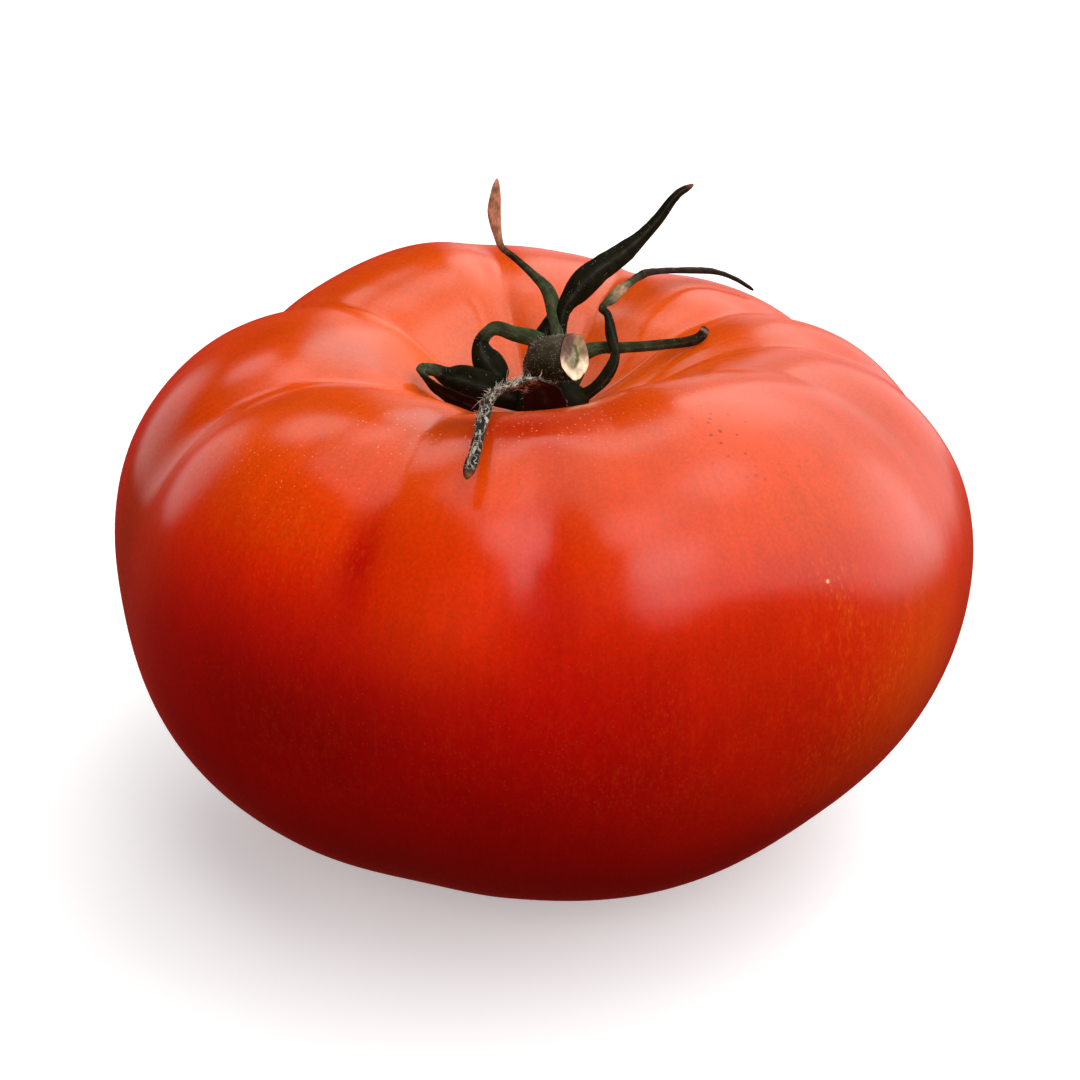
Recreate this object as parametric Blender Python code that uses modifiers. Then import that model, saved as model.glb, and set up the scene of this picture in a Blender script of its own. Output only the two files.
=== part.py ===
"""A ribbed beefsteak tomato as picked: the fruit, the calyx with its dried sepals, and the cut stub of the stalk.

Metres, +Z up. The origin is the middle of the small flat spot that the fruit rests on.
Azimuth 0 is +X and 90 is +Y, so the side that faces the viewer is at 270.
The tables are in millimetres and degrees, and MM and math.radians turn them into the scene's units.
"""

import math

import bmesh
import bpy
import numpy as np

MM = 0.001
COLLECTION = "tomato"

# Profile of the fruit as (radius, height), from the flat spot up the side and down into the hollow at the stalk
PROFILE = (
    (0, 0),
    (9, 0),
    (24, 3),
    (36, 10.5),
    (44.7, 22),
    (47.9, 34.5),
    (46, 46),
    (39, 54.6),
    (28.5, 58.6),
    (18.5, 57),
    (10.5, 52),
    (5, 49.3),
    (2.5, 48.8),
    (0, 48.8),
)
CREST = 0.66  # where the shoulder is highest, as a share of the profile's length

# Creases between the lobes: azimuth, depth at the crest, width in degrees, reach below the crest and into the
# hollow, both as shares of the profile
CREASES = (
    (8, 1.7, 8, 0.12, 0.32),
    (34, 2.0, 9, 0.18, 0.32),
    (70, 2.0, 10, 0.16, 0.32),
    (147, 3.0, 12, 0.24, 0.32),
    (200, 3.0, 10, 0.30, 0.32),
    (246, 2.6, 11, 0.28, 0.26),
    (271, 1.5, 6, 0.32, 0.10),
    (338, 0.9, 10, 0.18, 0.20),
)
INNER_CREASE = (102, 1.6, 7)  # azimuth, depth and width of the one that stays inside the hollow

# How the lobes leave the turned form: azimuth, swell low on the side, swell at the shoulder, rise of the crest
LOBES = (
    (0, 0.0, 0.2, -1.2),
    (45, 0.0, -1.0, -1.3),
    (85, 0.0, -0.4, -0.2),
    (110, 0.0, 0.0, 1.6),
    (135, 0.0, -0.3, 0.4),
    (170, 1.0, -0.6, 0.4),
    (200, 1.6, 0.8, 0.4),
    (225, 0.4, 0.4, 0.8),
    (245, -1.2, 0.0, 1.2),
    (262, -0.6, 0.2, 0.8),
    (285, 0.4, 0.3, 1.3),
    (300, 0.2, 0.3, 2.4),
    (320, -0.9, 0.3, 1.8),
    (340, -0.4, 0.2, 0.0),
)
FRUIT_SIDES = 84
FRUIT_RINGS = 38
PROFILE_SAMPLES = 800

# The hub that the sepals grow from: centre, radius, half height, and the height of its flat underside
HUB_CENTRE = (1.0, 0.5, 51.0)
HUB_RADIUS = 4.2
HUB_HALF_HEIGHT = 2.2
HUB_UNDERSIDE = 49.2

# Sepals: the way the blade's face looks at its root, then x, y, z, width and roll along its middle
BLADE_THICKNESS = 0.7
BLADE_COLUMNS = 4
BLADE_CUP = 0.18  # how far a blade's middle stands off its edges, as a share of its width
SEPALS = {
    "back_left": (
        (0, -1, 0),
        (0.9, 2.6, 50.9, 2.2, 0),
        (1.6, 3.8, 54.0, 1.6, 0),
        (2.0, 4.8, 56.8, 1.7, 0),
        (1.6, 6.0, 59.0, 1.7, 0),
        (0.8, 7.6, 61.0, 1.4, 0),
        (-0.8, 9.8, 62.0, 0.9, 0),
        (-2.7, 12.6, 62.8, 0.7, 0),
        (-4.1, 14.8, 63.2, 0.7, 0),
        (-4.6, 15.6, 64.0, 0.8, 0),
        (-5.1, 16.6, 66.6, 1.4, 0),
        (-5.0, 17.4, 68.3, 1.2, 0),
        (-4.8, 18.5, 70.2, 0.5, 0),
    ),
    "back_tall": (
        (0, -1, 0),
        (1.8, 2.6, 50.9, 2.2, 0),
        (2.1, 4.0, 54.2, 1.6, 0),
        (2.3, 5.2, 57.7, 1.2, 0),
        (2.8, 6.0, 59.7, 1.7, 0),
        (4.0, 6.8, 61.1, 2.7, 0),
        (5.1, 7.4, 62.2, 3.0, 0),
        (6.4, 8.2, 63.1, 2.7, 0),
        (7.9, 9.2, 63.8, 2.5, 0),
        (9.4, 10.2, 64.6, 2.2, 0),
        (11.1, 11.2, 65.8, 1.5, 0),
        (13.0, 12.2, 67.6, 1.2, 0),
        (15.0, 13.4, 69.9, 0.9, 0),
        (16.9, 14.2, 70.9, 0.6, 0),
    ),
    "right_over_shoulder": (
        (1, -1, 0),
        (3.2, 0.0, 50.9, 2.2, 0),
        (5.3, 0.6, 51.8, 1.7, 0),
        (6.8, 1.4, 52.9, 1.7, 0),
        (7.8, 2.4, 54.1, 1.6, 0),
        (8.1, 3.4, 55.2, 1.5, 0),
        (7.8, 4.6, 56.5, 1.4, 20),
        (7.5, 6.8, 58.2, 0.8, 60),
        (6.9, 7.8, 58.7, 0.9, 60),
        (7.7, 9.4, 59.0, 1.2, 30),
        (8.8, 11.6, 59.4, 1.2, 20),
        (10.1, 13.8, 59.6, 0.9, 20),
        (11.2, 15.8, 59.6, 0.9, 20),
        (12.5, 17.4, 59.5, 1.0, 20),
        (16.2, 21.0, 58.4, 0.9, 20),
        (20.0, 24.0, 57.2, 0.8, 20),
        (22.6, 24.0, 56.2, 0.8, 20),
        (24.6, 23.4, 55.2, 0.6, 20),
    ),
    "right_rolled": (
        (1, -1, 1),
        (2.6, 1.9, 50.9, 2.2, 0),
        (3.8, 2.9, 53.0, 2.0, 0),
        (4.6, 4.0, 54.8, 1.7, 0),
        (6.6, 4.8, 55.3, 1.3, 0),
        (9.1, 5.4, 55.1, 1.1, 0),
        (12.9, 5.9, 55.2, 1.0, 0),
        (16.3, 6.0, 55.6, 1.0, 0),
        (17.6, 6.5, 56.0, 1.0, 0),
        (18.2, 7.2, 56.8, 0.9, 0),
    ),
    "left_arch": (
        (0, -1, 0),
        (0.0, 2.6, 50.9, 2.2, 0),
        (-0.1, 3.9, 53.6, 1.8, 0),
        (-0.1, 4.5, 56.1, 1.9, 0),
        (-3.0, 4.6, 57.1, 1.6, 0),
        (-4.7, 5.0, 57.5, 1.5, 0),
        (-5.7, 5.0, 57.0, 1.3, 0),
        (-6.4, 4.8, 56.0, 1.6, 0),
        (-6.3, 4.2, 55.0, 2.4, 0),
        (-5.7, 3.4, 54.1, 3.3, 0),
        (-4.9, 2.6, 53.1, 3.2, 0),
        (-4.0, 1.8, 52.4, 2.2, 0),
    ),
    "left_curled": (
        (0, -1, 0.3),
        (-1.6, 0.0, 50.9, 2.4, 0),
        (-4.8, -0.6, 52.4, 3.2, 0),
        (-8.0, -0.3, 53.5, 3.2, 0),
        (-10.0, 0.1, 53.8, 2.1, 0),
        (-11.4, 0.2, 54.5, 1.3, 0),
        (-12.8, -0.4, 54.8, 1.3, -10),
        (-12.9, -1.6, 54.7, 1.3, -20),
        (-11.7, -3.0, 54.0, 1.6, -10),
        (-10.4, -4.4, 53.6, 2.0, 0),
        (-8.8, -5.6, 53.2, 2.3, 5),
        (-7.3, -6.6, 53.0, 2.3, 5),
        (-6.3, -7.2, 52.9, 1.5, 5),
    ),
    "front_over_lip": (
        (0, 0, 1),
        (0.8, -1.6, 50.7, 3.0, 0),
        (0.9, -4.4, 51.4, 4.4, 0),
        (0.6, -6.6, 53.0, 4.6, 0),
        (0.1, -7.5, 55.0, 4.0, 0),
        (-1.3, -8.6, 56.3, 2.6, 0),
        (-2.9, -10.8, 56.8, 2.3, 0),
        (-4.2, -13.8, 57.4, 2.0, 0),
        (-4.9, -17.8, 58.5, 1.6, 0),
        (-5.2, -22.5, 59.6, 1.4, 0),
        (-5.6, -28.0, 60.0, 1.2, 0),
        (-6.1, -33.5, 59.4, 1.1, 0),
        (-6.9, -37.5, 58.3, 1.4, 0),
    ),
    "back_short": (
        (0, -1, 0),
        (-0.6, 2.2, 50.9, 2.0, 0),
        (-0.6, 3.8, 53.4, 2.4, 0),
        (0.2, 5.2, 55.8, 2.3, 0),
        (0.9, 6.0, 57.4, 1.6, 0),
        (1.3, 6.5, 58.4, 0.9, 0),
    ),
}
ROWS_PER_POINT = 3  # blade rows between two points of a sepal's route

# Stub of the stalk: x, y, z and radius along its middle, from its foot on the hub to the face it was cut at
STALK = (
    (0.5, 0.5, 53.6, 2.2),
    (0.4, 0.3, 54.9, 2.3),
    (1.3, -1.2, 56.4, 2.4),
    (3.7, -2.9, 57.3, 2.5),
)
STALK_STEPS = 10
STALK_BEVEL_RESOLUTION = 3

FRUIT_COLOUR = (0.70, 0.045, 0.015, 1)
CALYX_COLOUR = (0.055, 0.075, 0.035, 1)
STALK_COLOUR = (0.16, 0.17, 0.08, 1)


def clear_scene():
    for scene_object in list(bpy.data.objects):
        bpy.data.objects.remove(scene_object, do_unlink=True)


def new_collection(name, parent):
    collection = bpy.data.collections.new(name)
    parent.children.link(collection)
    return collection


def plain_material(name, colour, roughness):
    material = bpy.data.materials.new(name)
    material.use_nodes = True
    shader = material.node_tree.nodes["Principled BSDF"]
    shader.inputs["Base Color"].default_value = colour
    shader.inputs["Roughness"].default_value = roughness
    shader.inputs["Metallic"].default_value = 0
    material.diffuse_color = colour
    return material


def smooth_step(start, end, value):
    share = np.clip((value - start) / (end - start), 0, 1)
    return share * share * (3 - 2 * share)


def spline_value(before, first, second, after, share):
    """One stretch of a Catmull-Rom spline, from first to second."""
    return 0.5 * (
        2 * first
        + (second - before) * share
        + (2 * before - 5 * first + 4 * second - after) * share**2
        + (3 * first - before - 3 * second + after) * share**3
    )


def curve_through(points, count):
    """count rows along a smooth curve through the points, whatever a row holds."""
    rows = np.array(points, float)
    padded = np.vstack([2 * rows[0] - rows[1], rows, 2 * rows[-1] - rows[-2]])
    place = np.linspace(0, len(rows) - 1, count)
    stretch = np.minimum(place.astype(int), len(rows) - 2)
    share = (place - stretch)[:, None]
    return spline_value(padded[stretch], padded[stretch + 1], padded[stretch + 2], padded[stretch + 3], share)


def around_axis(azimuths, values, azimuth):
    """A smooth closed curve of a value round the axis, read at each azimuth."""
    result = np.zeros_like(azimuth)
    count = len(azimuths)
    for i in range(count):
        span = (azimuths[(i + 1) % count] - azimuths[i]) % 360
        share = ((azimuth - azimuths[i]) % 360) / span
        four = [values[(i + k) % count] for k in (-1, 0, 1, 2)]
        result = np.where(share < 1, spline_value(*four, share), result)
    return result


def crease_dip(azimuth, share):
    """How far the creases sink the surface, in millimetres."""
    softness = 2 + 7 * smooth_step(CREST + 0.12, CREST - 0.2, share)
    spread = 1 + 0.35 * smooth_step(CREST, CREST - 0.3, share)
    dip = np.zeros_like(azimuth)
    for centre, depth, width, reach, inner_reach in CREASES:
        fade_inward = 1 - smooth_step(CREST, CREST + inner_reach, share)
        along = smooth_step(CREST - reach - 0.16, CREST, share) * fade_inward**0.5
        dip += depth * along * valley(azimuth, centre, width * spread, softness)
    centre, depth, width = INNER_CREASE
    along = smooth_step(CREST, CREST + 0.1, share) * (1 - 0.6 * smooth_step(0.85, 0.98, share))
    return dip + depth * along * valley(azimuth, centre, width * spread, softness)


def valley(azimuth, centre, width, softness):
    """1 in the middle of a crease and 0 far from it, with a rounded bottom."""
    away = np.abs((azimuth - centre + 180) % 360 - 180)
    return np.exp(-(np.sqrt(away**2 + softness**2) - softness) / width)


def fruit_surface(azimuth, share):
    """Points of the skin in millimetres, where share runs from the flat spot at 0 to the stalk at 1."""
    profile = curve_through(PROFILE, PROFILE_SAMPLES)
    profile[:, 1] = np.maximum(profile[:, 1], 0)
    steps = np.hypot(*np.diff(profile, axis=0).T)
    length = np.concatenate([[0], np.cumsum(steps)]) / steps.sum()
    slope = np.gradient(profile, axis=0)
    slope /= np.linalg.norm(slope, axis=1)[:, None]
    radius, height, run, rise = (np.interp(share, length, column) for column in (*profile.T, *slope.T))

    turns, low, shoulder, crest = (np.array(column, float) for column in zip(*LOBES))
    low_band = smooth_step(0.02, 0.2, share) * (1 - smooth_step(0.25, 0.5, share))
    shoulder_band = smooth_step(0.2, 0.45, share) * (1 - smooth_step(0.72, 0.9, share))
    crest_band = smooth_step(0.38, 0.62, share) * (1 - smooth_step(0.8, 0.97, share))
    swell = around_axis(turns, low, azimuth) * low_band + around_axis(turns, shoulder, azimuth) * shoulder_band
    lift = around_axis(turns, crest, azimuth) * crest_band

    dip = crease_dip(azimuth, share)
    radius = radius + swell - dip * rise
    height = height + lift + dip * run
    angle = np.radians(azimuth)
    return np.stack([radius * np.cos(angle), radius * np.sin(angle), height], axis=-1)


def new_object(name, mesh, collection, material):
    part = bpy.data.objects.new(name, mesh)
    collection.objects.link(part)
    if material is not None:
        mesh.materials.append(material)
    return part


def make_fruit(collection, material):
    """A sphere whose rings and meridians are laid on the ribbed surface."""
    shape = bmesh.new()
    bmesh.ops.create_uvsphere(shape, u_segments=FRUIT_SIDES, v_segments=FRUIT_RINGS, radius=1)
    shape.verts.ensure_lookup_table()
    unit = np.array([vertex.co[:] for vertex in shape.verts])
    azimuth = np.degrees(np.arctan2(unit[:, 1], unit[:, 0])) % 360
    share = 1 - np.arccos(np.clip(unit[:, 2], -1, 1)) / math.pi
    points = fruit_surface(azimuth, share) * MM
    for vertex, point in zip(shape.verts, points):
        vertex.co = point
    bmesh.ops.triangulate(shape, faces=shape.faces)
    mesh = bpy.data.meshes.new("fruit")
    shape.to_mesh(mesh)
    shape.free()
    mesh.shade_smooth()
    return new_object("fruit", mesh, collection, material)


def make_hub(collection, material):
    """A low dome with a flat underside."""
    shape = bmesh.new()
    bmesh.ops.create_uvsphere(shape, u_segments=20, v_segments=10, radius=1)
    for vertex in shape.verts:
        x, y, z = vertex.co
        height = max(HUB_CENTRE[2] + z * HUB_HALF_HEIGHT, HUB_UNDERSIDE)
        vertex.co = (
            (HUB_CENTRE[0] + x * HUB_RADIUS) * MM,
            (HUB_CENTRE[1] + y * HUB_RADIUS) * MM,
            height * MM,
        )
    mesh = bpy.data.meshes.new("calyx")
    shape.to_mesh(mesh)
    shape.free()
    return new_object("calyx", mesh, collection, material)


def blade_frames(face_way, rows):
    """Tangent, width and face directions along a route, turned by each row's roll."""
    middle = rows[:, :3]
    tangent = np.gradient(middle, axis=0)
    tangent /= np.linalg.norm(tangent, axis=1)[:, None]
    face = np.array(face_way, float)
    frames = []
    for direction, roll in zip(tangent, np.radians(rows[:, 4])):
        face = face - direction * face.dot(direction)
        face /= np.linalg.norm(face)
        side = np.cross(direction, face)
        turned_side = side * math.cos(roll) + face * math.sin(roll)
        turned_face = face * math.cos(roll) - side * math.sin(roll)
        frames.append((turned_side, turned_face))
    return frames


def make_blade(name, face_way, points, collection):
    """One sepal: a grid bent along its route and cupped across, then thickened."""
    count = (len(points) - 1) * ROWS_PER_POINT + 1
    rows = curve_through(points, count)
    frames = blade_frames(face_way, rows)
    shape = bmesh.new()
    bmesh.ops.create_grid(shape, x_segments=count - 1, y_segments=BLADE_COLUMNS, size=1)
    for vertex in shape.verts:
        row = round((vertex.co.x + 1) / 2 * (count - 1))
        across = vertex.co.y
        side, face = frames[row]
        width = rows[row, 3]
        offset = side * across * width / 2 + face * BLADE_CUP * width * (1 - across**2)
        vertex.co = (rows[row, :3] + offset) * MM
    bmesh.ops.triangulate(shape, faces=shape.faces)
    mesh = bpy.data.meshes.new(name)
    shape.to_mesh(mesh)
    shape.free()
    blade = new_object(name, mesh, collection, None)
    thicken = blade.modifiers.new("thicken", "SOLIDIFY")
    thicken.thickness = BLADE_THICKNESS * MM
    thicken.offset = 0
    return blade


def join_blades(hub, blades):
    """Fuses the sepals into the hub, and removes the loose blades."""
    union = hub.modifiers.new("union", "BOOLEAN")
    union.operation = "UNION"
    union.operand_type = "COLLECTION"
    union.collection = blades
    union.solver = "EXACT"
    bpy.context.view_layer.update()
    graph = bpy.context.evaluated_depsgraph_get()
    joined = bpy.data.meshes.new_from_object(hub.evaluated_get(graph))
    hub.modifiers.clear()
    hub.data = joined
    joined.name = "calyx"
    joined.shade_smooth()
    joined.set_sharp_from_angle(angle=math.radians(40))
    for blade in list(blades.objects):
        bpy.data.objects.remove(blade, do_unlink=True)
    bpy.data.collections.remove(blades)


def make_calyx(collection, material):
    hub = make_hub(collection, material)
    blades = new_collection("sepals", bpy.context.scene.collection)
    for name, (face_way, *points) in SEPALS.items():
        make_blade(name, face_way, points, blades)
    join_blades(hub, blades)
    return hub


def make_stalk(collection, material):
    """A short bent tube with flat ends."""
    rows = curve_through(STALK, STALK_STEPS)
    route = bpy.data.curves.new("stalk", "CURVE")
    route.dimensions = "3D"
    route.bevel_depth = MM
    route.bevel_resolution = STALK_BEVEL_RESOLUTION
    route.use_fill_caps = True
    line = route.splines.new("POLY")
    line.points.add(STALK_STEPS - 1)
    for point, (x, y, z, radius) in zip(line.points, rows):
        point.co = (x * MM, y * MM, z * MM, 1)
        point.radius = radius
    line.use_smooth = True
    return new_object("stalk", route, collection, material)


def main():
    clear_scene()
    parts = new_collection(COLLECTION, bpy.context.scene.collection)
    make_fruit(parts, plain_material("fruit_skin", FRUIT_COLOUR, 0.3))
    make_calyx(parts, plain_material("calyx_green", CALYX_COLOUR, 0.8))
    make_stalk(parts, plain_material("stalk_green", STALK_COLOUR, 0.8))


main()
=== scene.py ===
"""Looks of a ribbed beefsteak tomato: its skin, drying hairy sepals and the cut stub of its stalk.

Metres, +Z up, in the frame of the CAD model. Azimuth 0 is +X and 90 is +Y, so the camera looks from 270.
The tables of shapes are in millimetres and degrees, as in the CAD source, and MM and math.radians turn them
into the scene's units. The fruit, sepals and stub keep the CAD's form from the same tables, drawn finer.
Colours are linear red, green and blue.
"""

import math

import bpy
import numpy as np
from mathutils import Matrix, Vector, noise

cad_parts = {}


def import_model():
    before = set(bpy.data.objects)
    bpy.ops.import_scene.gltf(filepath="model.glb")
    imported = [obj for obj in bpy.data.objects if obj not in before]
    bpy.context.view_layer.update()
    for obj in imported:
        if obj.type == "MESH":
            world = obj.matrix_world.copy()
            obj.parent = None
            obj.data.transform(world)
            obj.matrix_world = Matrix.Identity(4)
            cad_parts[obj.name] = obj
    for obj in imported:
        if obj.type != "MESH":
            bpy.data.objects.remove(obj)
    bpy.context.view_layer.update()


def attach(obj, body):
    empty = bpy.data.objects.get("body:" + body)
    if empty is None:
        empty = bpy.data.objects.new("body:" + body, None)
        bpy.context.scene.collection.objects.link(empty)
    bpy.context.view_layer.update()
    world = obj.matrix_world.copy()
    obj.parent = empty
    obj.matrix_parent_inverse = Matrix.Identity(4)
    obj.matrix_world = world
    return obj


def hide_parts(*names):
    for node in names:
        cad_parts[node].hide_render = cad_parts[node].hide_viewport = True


MM = 0.001
SEED = 11

# Camera: the point it looks at, its distance, its height angle and its lens on a 36 mm sensor
AIM = (0, 0, 0.0343)
CAMERA_DISTANCE = 0.3216
CAMERA_ELEVATION = 25
LENS = 96.5

# Brighter round places in the sky: azimuth, elevation, outer and inner reach in degrees, and strength
LIGHT_SPOTS = (
    (133, 12, 20, 10, 0.9),
    (291, 46, 15, 6, 1.6),
    (274, 68, 14, 5, 1.2),
    (291, 22, 14, 6, 0.9),
    (28, 9, 20, 10, 0.7),
    (72, 38, 16, 8, 0.6),
    (97, 58, 11, 4, 1.5),
    (116, 43, 12, 5, 1.7),
    (6, 69, 16, 6, 1.6),
)
# Darker round places in the window, in the same order, with the share of its light that is lost
DARK_SPOTS = (
    (62, 0, 28, 10, 0.5),
    (56, -20, 14, 9, 0.85),
)
WINDOW_STRENGTH = 1.5
CEILING_SHARE = 0.7  # the ceiling's light, as a share of the window's
LOW_GLOW = (0.5, 0.04, 0.03)  # the colour of the light from below the horizon

# The lamp that fills the shade: azimuth and elevation, the point it faces, distance, width and power
FILL_PLACE = (248, 28)
FILL_AIM = (0, 0, 0.03)
FILL_DISTANCE = 0.7
FILL_SIZE = 0.5
FILL_POWER = 1.2

# Floor and backdrop, in metres, and how much each glows by itself
STAGE_RADIUS = 8
STAGE_SIDES = 64
FLOOR_GLOW = 0.35
BACKDROP_GLOW = 1.0

# Fruit, from the CAD: (radius, height) from the flat spot up the side and down into the hollow at the stalk
PROFILE = (
    (0, 0),
    (9, 0),
    (24, 3),
    (36, 10.5),
    (44.7, 22),
    (47.9, 34.5),
    (46, 46),
    (39, 54.6),
    (28.5, 58.6),
    (18.5, 57),
    (10.5, 52),
    (5, 49.3),
    (2.5, 48.8),
    (0, 48.8),
)
CREST = 0.66  # where the shoulder is highest, as a share of the profile's length
CREASES = (  # azimuth, depth, width in degrees, reach below the crest and into the hollow
    (8, 1.7, 8, 0.12, 0.32),
    (34, 2.0, 9, 0.18, 0.32),
    (70, 2.0, 10, 0.16, 0.32),
    (147, 3.0, 12, 0.24, 0.32),
    (200, 3.0, 10, 0.30, 0.32),
    (246, 2.6, 11, 0.28, 0.26),
    (271, 1.5, 6, 0.32, 0.10),
    (338, 0.9, 10, 0.18, 0.20),
)
INNER_CREASE = (102, 1.6, 7)  # azimuth, depth and width of the one that stays inside the hollow
LOBES = (  # azimuth, swell low on the side, swell at the shoulder, rise of the crest
    (0, 0.0, 0.2, -1.2),
    (45, 0.0, -1.0, -1.3),
    (85, 0.0, -0.4, -0.2),
    (110, 0.0, 0.0, 1.6),
    (135, 0.0, -0.3, 0.4),
    (170, 1.0, -0.6, 0.4),
    (200, 1.6, 0.8, 0.4),
    (225, 0.4, 0.4, 0.8),
    (245, -1.2, 0.0, 1.2),
    (262, -0.6, 0.2, 0.8),
    (285, 0.4, 0.3, 1.3),
    (300, 0.2, 0.3, 2.4),
    (320, -0.9, 0.3, 1.8),
    (340, -0.4, 0.2, 0.0),
)
PROFILE_SAMPLES = 2000
FRUIT_SIDES = 400
FRUIT_RINGS = 220
UNDULATION = 0.10  # how far the skin wanders off its smooth form
LUMP_SIZE = 14
# How fast the streaks and the dashes change round the fruit and along it
PATTERN_SCALES = {"flow": (60, 14), "dashes": (60, 80)}

# Skin colour up the fruit: share of the profile, then colour. The deep red that darkens towards the bottom
# is partly painted shade on the lower side. The dark last stop is a corky ring with painted shade in the
# hollow under the calyx.
SKIN_AND_SHADE_STOPS = (
    (0.00, (0.10, 0.050, 0.020)),
    (0.012, (0.14, 0.050, 0.016)),
    (0.022, (0.24, 0.006, 0.003)),
    (0.33, (0.26, 0.003, 0.002)),
    (0.44, (0.35, 0.003, 0.002)),
    (0.53, (0.54, 0.003, 0.001)),
    (0.60, (0.70, 0.018, 0.001)),
    (0.66, (0.76, 0.048, 0.001)),
    (0.72, (0.77, 0.072, 0.002)),
    (0.80, (0.78, 0.085, 0.003)),
    (0.90, (0.86, 0.110, 0.005)),
    (0.96, (0.80, 0.100, 0.006)),
    (1.00, (0.12, 0.045, 0.012)),
)
# Patches of another colour on the skin, many of them painted shade: dark reds in the creases, under the
# sepals, on the hollow's lip and low on the side. Azimuth, share, reach round and along, colour and
# strength
SKIN_AND_SHADE_PATCHES = (
    (310, 0.64, 25, 0.060, (0.76, 0.085, 0.001), 0.8),
    (300, 0.55, 14, 0.060, (0.62, 0.024, 0.001), 0.7),
    (200, 0.62, 14, 0.060, (0.70, 0.050, 0.001), 0.8),
    (256, 0.60, 10, 0.060, (0.80, 0.045, 0.001), 0.8),
    (245, 0.63, 3, 0.050, (0.50, 0.002, 0.001), 0.9),
    (271, 0.62, 4, 0.090, (0.56, 0.004, 0.001), 0.6),
    (228, 0.655, 10, 0.030, (0.76, 0.055, 0.001), 0.8),
    (184, 0.740, 14, 0.050, (0.66, 0.045, 0.001), 0.7),
    (216, 0.700, 12, 0.040, (0.84, 0.085, 0.002), 0.8),
    (325, 0.48, 12, 0.090, (0.72, 0.045, 0.001), 0.8),
    (296, 0.42, 14, 0.060, (0.46, 0.009, 0.002), 0.6),
    (238, 0.49, 16, 0.060, (0.26, 0.003, 0.001), 0.8),
    (308, 0.50, 24, 0.100, (0.60, 0.020, 0.001), 0.5),
    (266, 0.780, 14, 0.035, (0.50, 0.015, 0.001), 0.9),
    (282, 0.790, 12, 0.030, (0.60, 0.040, 0.001), 0.7),
    (249, 0.790, 8, 0.030, (0.36, 0.040, 0.004), 0.8),
    (242, 0.790, 7, 0.025, (0.60, 0.060, 0.002), 0.7),
    (40, 0.900, 60, 0.040, (0.95, 0.120, 0.003), 0.8),
    (330, 0.65, 18, 0.080, (0.56, 0.055, 0.003), 0.7),
    (184, 0.83, 14, 0.050, (0.58, 0.060, 0.003), 0.8),
    (195, 0.51, 8, 0.140, (0.28, 0.050, 0.004), 0.8),
    (208, 0.56, 7, 0.060, (0.42, 0.045, 0.004), 0.5),
    (219, 0.49, 14, 0.060, (0.30, 0.003, 0.001), 0.5),
    (347, 0.56, 9, 0.120, (0.52, 0.070, 0.008), 0.6),
    (328, 0.47, 12, 0.090, (0.66, 0.085, 0.001), 0.8),
    (318, 0.41, 12, 0.050, (0.50, 0.040, 0.001), 0.6),
)
# Where yellow flecks are dense, and where pale pores are: azimuth, share, reach round and along, strength
FLECK_ZONES = (
    (232, 0.640, 14, 0.045, 0.6),
    (308.5, 0.555, 5, 0.060, 1.0),
    (320, 0.51, 9, 0.050, 0.8),
    (316, 0.43, 12, 0.060, 0.5),
    (240, 0.46, 16, 0.080, 0.15),
    (285, 0.50, 25, 0.100, 0.20),
)
PORE_ZONES = (
    (240, 0.77, 14, 0.050, 1.0),
    (272, 0.78, 22, 0.045, 1.0),
    (300, 0.80, 14, 0.040, 0.8),
    (225, 0.68, 14, 0.040, 0.6),
)
# Where small dark specks are, in the same order
SPECK_ZONES = (
    (302, 0.712, 5, 0.035, 1.0),
    (318, 0.66, 14, 0.050, 0.15),
)
# One small pale scar: its middle, and how far from it the scar ends and is whole, in metres
PALE_SCAR = (0.0280, -0.0372, 0.0472)
SCAR_OUTER = 0.00032
SCAR_INNER = 0.00014
MOTTLE_COLOUR = (0.72, 0.11, 0.003, 1)
DASH_COLOUR = (0.85, 0.18, 0.012, 1)
SPECK_COLOUR = (0.10, 0.012, 0.006, 1)
SCAR_COLOUR = (0.90, 0.60, 0.38, 1)
PORE_COLOUR = (0.95, 0.48, 0.18, 1)

# The hub that the sepals grow from: centre, radius, half height, and the height of its flat underside
HUB_CENTRE = (1.0, 0.5, 51.0)
HUB_RADIUS = 4.2
HUB_HALF_HEIGHT = 2.2
HUB_UNDERSIDE = 49.2
HUB_SIDES = 40
HUB_RINGS = 24

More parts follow.
